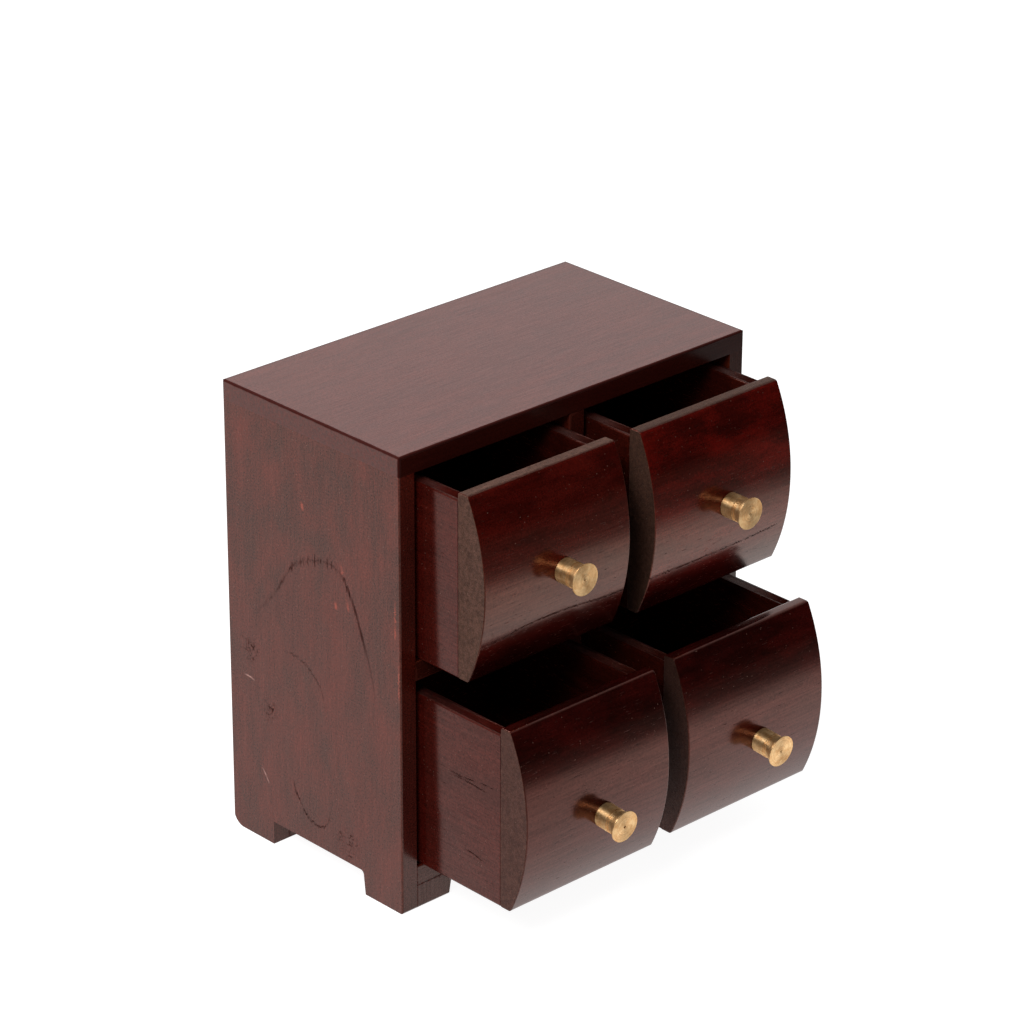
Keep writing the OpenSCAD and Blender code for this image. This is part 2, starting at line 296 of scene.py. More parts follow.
def dress(name, material, arris=(0, 0, 0)):
    """Gives a wooden piece its material, and eases its outer arrises: mm along X, Y and Z."""
    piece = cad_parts[name]
    mesh = piece.data
    mesh.materials.clear()
    mesh.materials.append(material)
    if max(arris) == 0:
        return
    weld = piece.modifiers.new("weld", "WELD")
    weld.merge_threshold = 1e-6
    uses = {}
    for face in mesh.polygons:
        for key in face.edge_keys:
            uses[key] = uses.get(key, 0) + 1
    low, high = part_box(name)
    touch, shortest = 0.01 * MM, 0.8 * MM
    weights = mesh.attributes.new("bevel_weight_edge", "FLOAT", "EDGE")
    for edge in mesh.edges:
        start, end = (mesh.vertices[i].co for i in edge.vertices)
        along = [abs(end[i] - start[i]) for i in range(3)]
        outside = any(
            abs(start[i] - side[i]) < touch and abs(end[i] - side[i]) < touch
            for i in range(3)
            for side in (low, high)
        )
        if outside and uses.get(edge.key, 0) == 1 and (end - start).length > shortest:
            weights.data[edge.index].value = arris[along.index(max(along))] / max(arris)
    bevel = piece.modifiers.new("eased_arris", "BEVEL")
    bevel.width = max(arris) * MM
    bevel.segments = 4
    bevel.limit_method = "WEIGHT"
    bevel.miter_outer = "MITER_ARC"
    normals = piece.modifiers.new("flat_faces", "WEIGHTED_NORMAL")
    normals.keep_sharp = False


def vein(
    tree, spot, run, rise, start, points, thickness, jag, depth=0.9, ticked=False, fades=(0.3, 0.3)
):
    """Dark hairline in the figure, through (run, rise) points in mm from start.

    run and rise are axes of spot. Gives how far a spot is above the line, and the line's mask.
    """
    runs = [x + start[0] for x, _ in points]
    rises = [y + start[1] for _, y in points]
    low, high = min(rises), max(rises)
    run, rise = spot.outputs[run], spot.outputs[rise]

    # The curve is read twice, a step apart, which gives its height and its slope.
    step = 0.5
    levels = []
    for shift in (0, step):
        share = add(
            tree,
            "ShaderNodeMapRange",
            {"Value": run, "From Min": runs[0] - shift, "From Max": runs[-1] - shift},
        )
        curve = add(tree, "ShaderNodeFloatCurve", {"Value": share.outputs[0]})
        knots = curve.mapping.curves[0].points
        for _ in points[2:]:
            knots.new(0.5, 0.5)
        for knot, x, y in zip(knots, runs, rises):
            knot.location = ((x - runs[0]) / (runs[-1] - runs[0]), (y - low) / (high - low))
        curve.mapping.update()
        level = add(
            tree,
            "ShaderNodeMapRange",
            {"Value": curve.outputs[0], "To Min": low, "To Max": high},
            clamp=False,
        )
        levels.append(level.outputs[0])

    # The line wavers by up to jag, its width is measured square to its slope, and it fades out
    # over a share of its length at each end.
    teeth_per_mm = 1.1
    rough = add(
        tree,
        "ShaderNodeTexNoise",
        {"W": run, "Scale": teeth_per_mm, "Detail": 3, "Roughness": 0.8},
        noise_dimensions="1D",
    )
    teeth = add(tree, "ShaderNodeMath", {0: rough.outputs["Fac"], 1: 0.5}, operation="SUBTRACT")
    teeth = add(tree, "ShaderNodeMath", {0: teeth.outputs[0], 1: 2 * jag}, operation="MULTIPLY")
    above = add(tree, "ShaderNodeMath", {0: rise, 1: levels[0]}, operation="SUBTRACT")
    jagged = add(
        tree,
        "ShaderNodeMath",
        {0: above.outputs[0], 1: teeth.outputs[0]},
        operation="ADD",
    )
    slope = add(tree, "ShaderNodeMath", {0: levels[1], 1: levels[0]}, operation="SUBTRACT")
    slope = add(tree, "ShaderNodeMath", {0: slope.outputs[0], 1: step}, operation="DIVIDE")
    length = add(
        tree,
        "ShaderNodeMath",
        {0: slope.outputs[0], 1: slope.outputs[0], 2: 1},
        operation="MULTIPLY_ADD",
    )
    length = add(tree, "ShaderNodeMath", {0: length.outputs[0]}, operation="SQRT")
    away = add(
        tree,
        "ShaderNodeMath",
        {0: jagged.outputs[0], 1: length.outputs[0]},
        operation="DIVIDE",
    )
    away = add(tree, "ShaderNodeMath", {0: away.outputs[0]}, operation="ABSOLUTE")
    line = add(
        tree,
        "ShaderNodeMapRange",
        {"Value": away.outputs[0], "From Min": thickness, "From Max": thickness * 0.3},
    )
    share = add(
        tree,
        "ShaderNodeMapRange",
        {"Value": run, "From Min": runs[0], "From Max": runs[-1]},
        clamp=False,
    )
    fade_in = add(tree, "ShaderNodeMapRange", {"Value": share.outputs[0], "From Max": fades[0]})
    fade_out = add(
        tree,
        "ShaderNodeMapRange",
        {"Value": share.outputs[0], "From Min": 1, "From Max": 1 - fades[1]},
    )
    fade = add(
        tree,
        "ShaderNodeMath",
        {0: fade_in.outputs[0], 1: fade_out.outputs[0]},
        operation="MULTIPLY",
    )
    if ticked:
        # Short upright ticks stand along the flat part of the line.
        ticks_per_mm, heights_per_mm = 1.0, 0.9
        shortest_tick, tallest_tick = 0.3, 2.6
        tick_strength = 0.9
        noise = add(
            tree,
            "ShaderNodeTexNoise",
            {"W": run, "Scale": ticks_per_mm, "Detail": 1},
            noise_dimensions="1D",
        )
        ticks = add(
            tree,
            "ShaderNodeMapRange",
            {"Value": noise.outputs["Fac"], "From Min": 0.48, "From Max": 0.66},
        )
        noise = add(
            tree,
            "ShaderNodeTexNoise",
            {"W": run, "Scale": heights_per_mm, "Detail": 2},
            noise_dimensions="1D",
        )
        reach = add(
            tree,
            "ShaderNodeMapRange",
            {
                "Value": noise.outputs["Fac"],
                "From Min": 0.35,
                "From Max": 0.7,
                "To Min": shortest_tick,
                "To Max": tallest_tick,
            },
        )
        off_line = add(tree, "ShaderNodeMath", {0: above.outputs[0]}, operation="ABSOLUTE")
        within = add(
            tree,
            "ShaderNodeMath",
            {0: reach.outputs[0], 1: off_line.outputs[0]},
            operation="SUBTRACT",
        )
        within = add(tree, "ShaderNodeMapRange", {"Value": within.outputs[0], "From Max": 0.5})
        flatness = add(
            tree,
            "ShaderNodeMath",
            {0: within.outputs[0], 1: length.outputs[0]},
            operation="DIVIDE",
        )
        row = add(
            tree,
            "ShaderNodeMath",
            {0: ticks.outputs[0], 1: flatness.outputs[0]},
            operation="MULTIPLY",
        )
        row = add(
            tree,
            "ShaderNodeMath",
            {0: row.outputs[0], 1: tick_strength},
            operation="MULTIPLY",
        )
        thinned = add(
            tree,
            "ShaderNodeMapRange",
            {"Value": length.outputs[0], "From Min": 1, "From Max": 1.5, "To Min": 0.55},
        )
        line = add(
            tree,
            "ShaderNodeMath",
            {0: line.outputs[0], 1: thinned.outputs[0]},
            operation="MULTIPLY",
        )
        line = add(
            tree,
            "ShaderNodeMath",
            {0: line.outputs[0], 1: row.outputs[0]},
            operation="MAXIMUM",
        )

    # Longer stretches of the line are faint.
    gaps_per_mm = 0.35
    gap_noise = add(
        tree,
        "ShaderNodeTexNoise",
        {"W": run, "Scale": gaps_per_mm, "Detail": 2},
        noise_dimensions="1D",
    )
    gaps = add(
        tree,
        "ShaderNodeMapRange",
        {
            "Value": gap_noise.outputs["Fac"],
            "From Min": 0.36,
            "From Max": 0.56,
            "To Min": 0.3,
            "To Max": depth,
        },
    )
    broken = add(
        tree,
        "ShaderNodeMath",
        {0: line.outputs[0], 1: gaps.outputs[0]},
        operation="MULTIPLY",
    )
    mask = add(
        tree,
        "ShaderNodeMath",
        {0: broken.outputs[0], 1: fade.outputs[0]},
        operation="MULTIPLY",
    )
    return above.outputs[0], mask.outputs[0]


# The axes of a board with its grain along X, Y or Z, taken with the grain first.
GRAIN_ORDER = {"X": "XYZ", "Y": "YZX", "Z": "ZXY"}


def mahogany(
    name,
    box,
    grain,
    seed,
    roughness,
    heart=(0, 30, 12),
    lean=(0, 0, 0),
    ring=3.0,
    shades=("#3d0f08", "#521a0e", "#5c1f10", "#6b2814"),
    veins=(),
    follow_first_vein=False,
    squiggles=(),
    patch_shades=None,
    patch_strength=0.85,
    patch_seed=0.0,
    painted_shade_by_facing=None,
    bare_top=False,
    end_shades=("#160803", "#6b4434"),
    end_roughness=0.6,
    end_relief=0.4,
    red_side=None,
    scratches=(),
    sheen_tint="#ffffff",
    ior=1.5,
    worn=0.5,
    rub_and_shade_colour="#8a3320",
    worn_width=(0.1, 1.3),
    mottled=0.4,
    streaky=0.45,
    uneven_gloss=0.3,
    pore_depth=0.6,
    dust=0.3,
    fibre_relief=0.012,
):
    """Flat-sawn mahogany, stained and brushed with lacquer.

    It shows soft growth rings, blotches where the stain took unevenly, dark pores and a sheen that
    the fibres break up. box is the board's low and high corner in metres, grain its axis, and
    heart, ring, worn_width and the reliefs are in mm.
    """
    material = bpy.data.materials.new(name)
    tree = empty_tree(material)
    low = Vector(box[0]) / MM
    high = Vector(box[1]) / MM
    place = add(tree, "ShaderNodeTexCoord")
    in_mm = add(
        tree,
        "ShaderNodeVectorMath",
        {0: place.outputs["Object"], "Scale": 1 / MM},
        operation="SCALE",
    )
    spot = add(tree, "ShaderNodeSeparateXYZ", {0: in_mm.outputs[0]})
    local = add(
        tree,
        "ShaderNodeVectorMath",
        {0: in_mm.outputs[0], 1: (low + high) / 2},
        operation="SUBTRACT",
    )
    local_axes = add(tree, "ShaderNodeSeparateXYZ", {0: local.outputs[0]})
    board = add(
        tree,
        "ShaderNodeCombineXYZ",
        {i: local_axes.outputs[axis] for i, axis in enumerate(GRAIN_ORDER[grain])},
    )

    # Growth rings: bands round the heart of the tree, which wanders along the board.
    wander_mm, wander_run_mm, wander_width_mm = 3.0, 75, 26
    endless = 1e5
    bends = add(
        tree,
        "ShaderNodeMapping",
        {
            "Vector": board.outputs[0],
            "Location": (seed, seed * 0.7, seed * 1.3),
            "Scale": (1 / wander_run_mm, 1 / wander_width_mm, 1 / wander_width_mm),
        },
    )
    bend = add(tree, "ShaderNodeTexNoise", {"Vector": bends.outputs[0], "Scale": 1, "Detail": 2})
    bent = add(
        tree,
        "ShaderNodeVectorMath",
        {0: bend.outputs["Color"], 1: (0, 4 * wander_mm, 4 * wander_mm), 2: board.outputs[0]},
        operation="MULTIPLY_ADD",
    )
    from_heart = add(
        tree,
        "ShaderNodeMapping",
        {"Vector": bent.outputs[0], "Location": heart, "Rotation": lean, "Scale": (endless, 1, 1)},
        vector_type="TEXTURE",
    )
    radius = add(tree, "ShaderNodeVectorMath", {0: from_heart.outputs[0]}, operation="LENGTH")
    ring_place = radius.outputs["Value"]
    lines = [vein(tree, spot, **line) for line in veins]
    if follow_first_vein:
        wobble_mm = 14
        wobble = add(
            tree,
            "ShaderNodeMath",
            {0: bend.outputs["Fac"], 1: wobble_mm, 2: lines[0][0]},
            operation="MULTIPLY_ADD",
        )
        ring_place = wobble.outputs[0]
    ring_step = add(tree, "ShaderNodeMath", {0: ring_place, 1: 1 / ring}, operation="MULTIPLY")
    rings = add(
        tree,
        "ShaderNodeTexNoise",
        {"W": ring_step.outputs[0], "Scale": 1, "Detail": 3, "Roughness": 0.6},
        noise_dimensions="1D",
    )
    stain = add(tree, "ShaderNodeValToRGB", {"Fac": rings.outputs["Fac"]})
    for _ in shades[2:]:
        stain.color_ramp.elements.new(0.5)
    for stop, position, shade in zip(stain.color_ramp.elements, (0.3, 0.44, 0.56, 0.7), shades):
        stop.position = position
        stop.color = linear(shade)

    stained = stain.outputs["Color"]
    if red_side:
        border_mm = 4
        inside = add(
            tree,
            "ShaderNodeMapRange",
            {"Value": lines[0][0], "From Min": border_mm, "From Max": -border_mm, "To Max": 0.7},
            interpolation_type="SMOOTHSTEP",
        )
        redder = add(
            tree,
            "ShaderNodeMix",
            {0: inside.outputs[0], 6: stained, 7: linear(red_side)},
            data_type="RGBA",
        )
        stained = redder.outputs[2]

    # The stain takes unevenly, in soft patches drawn out along the grain: some darker, some redder.
    patch_mm, patch_run = 11, 2.2
    uneven = stained
    for turn, tint in enumerate(patch_shades or (shades[0], shades[-1])):
        drift = seed + patch_seed + 31 * turn
        patches = add(
            tree,
            "ShaderNodeMapping",
            {
                "Vector": board.outputs[0],
                "Location": (drift * 3, drift, drift * 2),
                "Scale": (1 / (patch_mm * patch_run), 1 / patch_mm, 1 / patch_mm),
            },
        )
        patch = add(
            tree,
            "ShaderNodeTexNoise",
            {"Vector": patches.outputs[0], "Scale": 1, "Detail": 5, "Roughness": 0.65},
        )
        share = add(
            tree,
            "ShaderNodeMapRange",
            {
                "Value": patch.outputs["Fac"],
                "From Min": 0.42,
                "From Max": 0.68,
                "To Max": patch_strength,
            },
        )
        mixed = add(
            tree,
            "ShaderNodeMix",
            {0: share.outputs[0], 6: uneven, 7: linear(tint)},
            data_type="RGBA",
        )
        uneven = mixed.outputs[2]

    # Painted shade: faces turned down or to the front are darkened, for the shade under the bows
    # and on the front edges. The tuple gives the axis, where the normal starts to count and where
    # it counts in full, the strength and the shade.
    facing = add(tree, "ShaderNodeSeparateXYZ", {0: place.outputs["Normal"]})
    if painted_shade_by_facing:
        axis, start, full, strength, shade_colour = painted_shade_by_facing
        facing_shade_share = add(
            tree,
            "ShaderNodeMapRange",
            {
                "Value": facing.outputs[axis],
                "From Min": start,
                "From Max": full,
                "To Max": strength,
            },
        )
        mixed = add(
            tree,
            "ShaderNodeMix",
            {0: facing_shade_share.outputs[0], 6: uneven, 7: linear(shade_colour)},
            data_type="RGBA",
        )
        uneven = mixed.outputs[2]

    # Fibres and pores run with the grain. Real pores are 0.1 mm wide: drawn at 0.3 mm to show.
    fibre_mm, fibre_run_mm = 0.5, 16
    fibres = add(
        tree,
        "ShaderNodeMapping",
        {
            "Vector": board.outputs[0],
            "Location": (seed, seed * 5, seed * 2),
            "Scale": (1 / fibre_run_mm, 1 / fibre_mm, 1 / fibre_mm),
        },
    )
    fibre = add(
        tree,
        "ShaderNodeTexNoise",
        {"Vector": fibres.outputs[0], "Scale": 1, "Detail": 2, "Roughness": 0.6},
    )
    fibre_shade = add(
        tree,
        "ShaderNodeMapRange",
        {
            "Value": fibre.outputs["Fac"],
            "From Min": 0.3,
            "From Max": 0.7,
            "To Min": 0.86,
            "To Max": 1.14,
        },
    )
    mottle_mm = 0.6
    mottle = add(
        tree,
        "ShaderNodeTexNoise",
        {"Vector": in_mm.outputs[0], "Scale": 1 / mottle_mm, "Detail": 3, "Roughness": 0.75},
    )
    mottle_shade = add(
        tree,
        "ShaderNodeMapRange",
        {
            "Value": mottle.outputs["Fac"],
            "From Min": 0.36,
            "From Max": 0.64,
            "To Min": 1 - mottled,
            "To Max": 1 + mottled,
        },
    )
    shade = add(
        tree,
        "ShaderNodeMath",
        {0: fibre_shade.outputs[0], 1: mottle_shade.outputs[0]},
        operation="MULTIPLY",
    )
    fibred = add(
        tree,
        "ShaderNodeVectorMath",
        {0: uneven, "Scale": shade.outputs[0]},
        operation="SCALE",
    )
    pore_mm, pore_run_mm = 0.3, 3.2
    pore_place = add(
        tree,
        "ShaderNodeMapping",
        {
            "Vector": board.outputs[0],
            "Location": (seed * 2, seed * 3, seed),
            "Scale": (1 / pore_run_mm, 1 / pore_mm, 1 / pore_mm),
        },
    )
    pore_noise = add(
        tree,
        "ShaderNodeTexNoise",
        {"Vector": pore_place.outputs[0], "Scale": 1, "Detail": 1},
    )
    pores = add(
        tree,
        "ShaderNodeMapRange",
        {
            "Value": pore_noise.outputs["Fac"],
            "From Min": 0.69,
            "From Max": 0.8,
            "To Max": pore_depth,
        },
    )
    sawn = add(tree, "ShaderNodeMath", {0: facing.outputs[grain]}, operation="ABSOLUTE")
    if bare_top:
        sawn = add(
            tree,
            "ShaderNodeMath",
            {0: sawn.outputs[0], 1: facing.outputs["Z"]},
            operation="MAXIMUM",
        )
    end = add(
        tree,
        "ShaderNodeMapRange",
        {"Value": sawn.outputs[0], "From Min": 0.75, "From Max": 0.95},
    )
    lacquered = add(tree, "ShaderNodeMath", {0: 1, 1: end.outputs[0]}, operation="SUBTRACT")

    # Pin knots: a few dark curls, within reach of a centre.
    curls_per_mm = 0.3
    marks = [mask for _, mask in lines]
    for centre, reach in squiggles:
        away = add(
            tree,
            "ShaderNodeVectorMath",
            {0: in_mm.outputs[0], 1: centre},
            operation="DISTANCE",
        )
        near = add(
            tree,
            "ShaderNodeMapRange",
            {"Value": away.outputs["Value"], "From Min": reach, "From Max": reach * 0.5},
        )
        curl = add(
            tree,
            "ShaderNodeTexNoise",
            {"Vector": in_mm.outputs[0], "Scale": curls_per_mm, "Detail": 1, "Distortion": 1.5},
        )
        curl = add(tree, "ShaderNodeMath", {0: curl.outputs["Fac"], 1: 0.5}, operation="SUBTRACT")
        curl = add(tree, "ShaderNodeMath", {0: curl.outputs[0]}, operation="ABSOLUTE")
        curl = add(
            tree,
            "ShaderNodeMapRange",
            {"Value": curl.outputs[0], "From Min": 0.03, "From Max": 0.01, "To Max": 0.7},
        )
        squiggle = add(
            tree,
            "ShaderNodeMath",
            {0: near.outputs[0], 1: curl.outputs[0]},
            operation="MULTIPLY",
        )
        marks.append(squiggle.outputs[0])
    dark = pores.outputs[0]
    for mark in marks:
        both = add(tree, "ShaderNodeMath", {0: dark, 1: mark}, operation="MAXIMUM")
        dark = both.outputs[0]
    dark = add(tree, "ShaderNodeMath", {0: dark, 1: lacquered.outputs[0]}, operation="MULTIPLY")
    dark = dark.outputs[0]
    pore_shade = "#120402"
    pored = add(
        tree,
        "ShaderNodeMix",
        {0: dark, 6: fibred.outputs[0], 7: linear(pore_shade)},
        data_type="RGBA",
    )

    # Sawn ends, and top edges left bare, drink the stain and stay rough.
    end_pores_per_mm = 0.8
    end_noise = add(
        tree,
        "ShaderNodeTexNoise",
        {"Vector": in_mm.outputs[0], "Scale": end_pores_per_mm, "Detail": 6, "Roughness": 0.85},
    )
    end_colour = add(tree, "ShaderNodeValToRGB", {"Fac": end_noise.outputs["Fac"]})
    for stop, position, shade in zip(end_colour.color_ramp.elements, (0.42, 0.6), end_shades):
        stop.position = position
        stop.color = linear(shade)
    with_ends = add(
        tree,
        "ShaderNodeMix",
        {0: end.outputs[0], 6: pored.outputs[2], 7: end_colour.outputs["Color"]},
        data_type="RGBA",
    )

    # Rubbed arrises; on the top panel their dark line is partly painted shade. On a square board
    # the distance to the nearest arris is the middle one of the distances to its three pairs of
    # faces.
    from_low = add(
        tree,
        "ShaderNodeVectorMath",
        {0: in_mm.outputs[0], 1: low},
        operation="SUBTRACT",
    )
    from_high = add(
        tree,
        "ShaderNodeVectorMath",
        {0: high, 1: in_mm.outputs[0]},
        operation="SUBTRACT",
    )
    to_faces = add(
        tree,
        "ShaderNodeVectorMath",
        {0: from_low.outputs[0], 1: from_high.outputs[0]},
        operation="MINIMUM",
    )
    to_face = add(tree, "ShaderNodeSeparateXYZ", {0: to_faces.outputs[0]})
    nearer, further = (
        add(tree, "ShaderNodeMath", {0: to_face.outputs[0], 1: to_face.outputs[1]}, operation=which)
        for which in ("MINIMUM", "MAXIMUM")
    )
    capped = add(
        tree,
        "ShaderNodeMath",
        {0: further.outputs[0], 1: to_face.outputs[2]},
        operation="MINIMUM",
    )
    to_arris = add(
        tree,
        "ShaderNodeMath",
        {0: nearer.outputs[0], 1: capped.outputs[0]},
        operation="MAXIMUM",
    )
    rubs_per_mm = 0.12
    rub_noise = add(
        tree,
        "ShaderNodeTexNoise",
        {"Vector": in_mm.outputs[0], "Scale": rubs_per_mm, "Detail": 4, "Roughness": 0.7},
    )
    rub_width = add(
        tree,
        "ShaderNodeMapRange",
        {
            "Value": rub_noise.outputs["Fac"],
            "From Min": 0.4,
            "From Max": 0.7,
            "To Min": worn_width[0],
            "To Max": worn_width[1],
        },
    )
    rub = add(
        tree,
        "ShaderNodeMath",
        {0: rub_width.outputs[0], 1: to_arris.outputs[0]},
        operation="SUBTRACT",
    )
    rubbed = add(
        tree,
        "ShaderNodeMapRange",
        {"Value": rub.outputs[0], "From Min": 0, "From Max": 0.4, "To Max": worn},
    )
    with_wear = add(
        tree,
        "ShaderNodeMix",
        {0: rubbed.outputs[0], 6: with_ends.outputs[2], 7: linear(rub_and_shade_colour)},
        data_type="RGBA",
    )
    worn_colour = with_wear.outputs[2]
    for shade, line in scratches:
        _, mark = vein(tree, spot, **line)
        marked = add(
            tree,
            "ShaderNodeMix",
            {0: mark, 6: worn_colour, 7: linear(shade)},
            data_type="RGBA",
        )
        worn_colour = marked.outputs[2]

    # Specks of dust and filler caught in the lacquer, about 0.3 mm across and 1.7 mm apart.
    speck_mm, bare_share = 1.7, 0.55
    dust_shade = "#a5887a"
    cells = add(tree, "ShaderNodeTexVoronoi", {"Vector": in_mm.outputs[0], "Scale": 1 / speck_mm})
    speck = add(
        tree,
        "ShaderNodeMapRange",
        {"Value": cells.outputs["Distance"], "From Min": 0.13, "From Max": 0.07},
    )
    chosen = add(tree, "ShaderNodeSeparateColor", {0: cells.outputs["Color"]})
    few = add(
        tree,
        "ShaderNodeMath",
        {0: chosen.outputs[0], 1: bare_share},
        operation="GREATER_THAN",
    )
    strength = add(tree, "ShaderNodeMath", {0: chosen.outputs[1], 1: dust}, operation="MULTIPLY")
    specks = add(
        tree,
        "ShaderNodeMath",
        {0: speck.outputs[0], 1: few.outputs[0]},
        operation="MULTIPLY",
    )
    specks = add(
        tree,
        "ShaderNodeMath",
        {0: specks.outputs[0], 1: strength.outputs[0]},
        operation="MULTIPLY",
    )
    finished = add(
        tree,
        "ShaderNodeMix",
        {0: specks.outputs[0], 6: worn_colour, 7: linear(dust_shade)},
        data_type="RGBA",
    )

    # Gloss: lacquer is dull over pores, wear and end grain, and uneven over the fibres.
    dull_roughness = 0.9
    full_gloss, dull_gloss = 0.5, 0.05
    rough_end = add(
        tree,
        "ShaderNodeMapRange",
        {"Value": end.outputs[0], "To Min": roughness, "To Max": end_roughness},
    )
    dull = add(tree, "ShaderNodeMath", {0: dark, 1: rubbed.outputs[0]}, operation="MAXIMUM")
    rough_all = add(
        tree,
        "ShaderNodeMix",
        {0: dull.outputs[0], 2: rough_end.outputs[0], 3: dull_roughness},
    )
    matt = add(
        tree,
        "ShaderNodeMapRange",
        {"Value": dull.outputs[0], "To Min": full_gloss, "To Max": dull_gloss},
    )
    grains = add(
        tree,
        "ShaderNodeMix",
        {0: streaky, 2: mottle.outputs["Fac"], 3: fibre.outputs["Fac"]},
    )
    gleam = add(
        tree,
        "ShaderNodeMapRange",
        {
            "Value": grains.outputs[0],
            "From Min": 0.4,
            "From Max": 0.6,
            "To Min": 1 - uneven_gloss,
            "To Max": 1 + uneven_gloss,
        },
    )
    gloss_level = add(
        tree,
        "ShaderNodeMath",
        {0: matt.outputs[0], 1: gleam.outputs[0]},
        operation="MULTIPLY",
    )

    # Relief: fibres telegraph through the lacquer, pores sink, end grain is coarse.
    pore_relief = 0.04
    fibre_bump = add(
        tree,
        "ShaderNodeBump",
        {"Height": fibre.outputs["Fac"], "Strength": 1, "Distance": fibre_relief * MM},
    )
    pore_bump = add(
        tree,
        "ShaderNodeBump",
        {
            "Height": dark,
            "Strength": 0.6,
            "Distance": pore_relief * MM,
            "Normal": fibre_bump.outputs[0],
        },
        invert=True,
    )
    end_height = add(
        tree,
        "ShaderNodeMath",
        {0: end_noise.outputs["Fac"], 1: end.outputs[0]},
        operation="MULTIPLY",
    )
    end_bump = add(
        tree,
        "ShaderNodeBump",
        {
            "Height": end_height.outputs[0],
            "Strength": 1,
            "Distance": end_relief * MM,
            "Normal": pore_bump.outputs[0],
        },
    )
    shader = add(
        tree,
        "ShaderNodeBsdfPrincipled",
        {
            "Base Color": finished.outputs[2],
            "Roughness": rough_all.outputs[0],
            "IOR": ior,
            "Specular IOR Level": gloss_level.outputs[0],
            "Specular Tint": linear(sheen_tint),
            "Normal": end_bump.outputs[0],
        },
    )
    add(tree, "ShaderNodeOutputMaterial", {"Surface": shader.outputs[0]})
    return material


# Figure of the left panel, in mm from the front edge and the floor: a tall arch with ticks along
# its top, a smaller one behind it and the foot of a third, and the curls of three pin knots.
front_edge = carcass_low.y / MM
along_side = {"run": "Y", "rise": "Z", "start": (front_edge, 0)}
up_side = {"run": "Z", "rise": "Y", "start": (0, front_edge)}
arch = {
    **along_side,
    "points": [
        (9, 52), (12.1, 73.8), (15, 84.7), (18, 92.8), (20.6, 99.8), (22.1, 103), (24.2, 106.3),
        (26.6, 109.6), (31, 111.9), (36.6, 111.7), (41.4, 110.4), (47.3, 107.8), (51.4, 104.6),
        (54.8, 99.9), (58.9, 93.9), (62.4, 89.8), (72.7, 79),
    ],
    "thickness": 0.5, "jag": 2.2, "depth": 0.8, "ticked": True, "fades": (0.2, 0.35),
}
arch_flank = {
    **along_side,
    "points": [(15, 84.2), (18, 92.2), (20.6, 99), (23.6, 104.6), (27, 109.2)],
    "thickness": 0.8, "jag": 2,
}
small_arch = {
    **along_side,
    "points": [
        (33.6, 44), (35.1, 58.2), (36.5, 61.8), (38.6, 67.1),
        (42.6, 70.4), (45.9, 72.5), (50.5, 73.6), (58, 72.8),
    ],
    "thickness": 0.26, "jag": 1.6,
}
low_tip = {
    **along_side,
    "points": [(34, 30), (35, 21.1), (37.6, 16.8), (42.6, 15.9), (49.1, 21.1), (53.6, 30.4)],
    "thickness": 0.42, "jag": 1.8, "fades": (0.15, 0.15),
}
pin_knots = [
    ((carcass_low.x / MM, y + front_edge, z), reach)
    for y, z, reach in ((73.5, 67.5, 6), (64, 49, 5), (26, 15, 7))
]

# Marks of use, placed in the same way: a scratch, a scuff, and rubs through to the red on the
# face and along the front arris. Each has a direction, its points, a thickness, a jag and a shade.
pale, rubbed_red = "#b5857c", "#98402f"
wear = [
    (along_side, [(70.8, 56.8), (73.3, 57.6), (76.5, 57.7)], 0.4, 0.2, pale),
    (up_side, [(21.6, 64.8), (23.8, 66.2), (26.6, 68.3)], 0.4, 0.2, pale),
    (up_side, [(126, 45.4), (127.5, 45.7), (129.5, 45.9)], 0.8, 0.9, rubbed_red),
    (up_side, [(97, 30), (98.5, 30.3), (100, 30.5)], 0.8, 0.9, rubbed_red),
    (up_side, [(98.5, 24.3), (101, 24.6), (103, 24.9)], 0.8, 0.9, rubbed_red),
    (up_side, [(110.3, 27), (112, 27.2), (113.6, 27.5)], 0.8, 0.9, rubbed_red),
    (up_side, [(93, 2.2), (102, 2.4), (111, 2.2)], 0.5, 1.2, rubbed_red),
    (up_side, [(74, 0.8), (82, 0.9), (90, 0.8)], 0.45, 0.8, rubbed_red),
]
marks_of_use = [
    (shade, {**way, "points": points, "thickness": thickness, "jag": jag})
    for way, points, thickness, jag, shade in wear
]

left_panel = mahogany(
    "left_panel_mahogany",
    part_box("left_side_panel"),
    "Z",
    ring=11,
    seed=2.3,
    roughness=0.24,
    shades=("#3f160d", "#44180f", "#491910", "#4f1b12"),
    patch_shades=("#34160d", "#6e2519"),
    patch_strength=0.5,
    veins=(arch, arch_flank, small_arch, low_tip),
    follow_first_vein=True,
    squiggles=pin_knots,
    red_side="#4f1910",
    sheen_tint="#ffe2d4",
    scratches=marks_of_use,
    worn=0,
    mottled=0.5,
    streaky=0.2,
    uneven_gloss=0.24,
    pore_depth=0.3,
    # Painted shade darkens the front edge, which faces the dim front of the room.
    painted_shade_by_facing=("Y", -0.6, -0.95, 0.6, "#320503"),
)
dress("left_side_panel", left_panel)
right_panel = mahogany(
    "right_panel_mahogany",
    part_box("right_side_panel"),
    "Z",
    heart=(0, 9, 14),
    lean=(0, 0.05, 0.16),
    seed=8.1,
    roughness=0.22,
    shades=("#40160b", "#46180c", "#4c1b0e", "#521d10"),
    sheen_tint="#ffeee4",
    worn=0,
    streaky=0.2,
    # Painted shade darkens the front edge, which faces the dim front of the room.
    painted_shade_by_facing=("Y", -0.6, -0.95, 0.7, "#1c0604"),
)
dress("right_side_panel", right_panel)
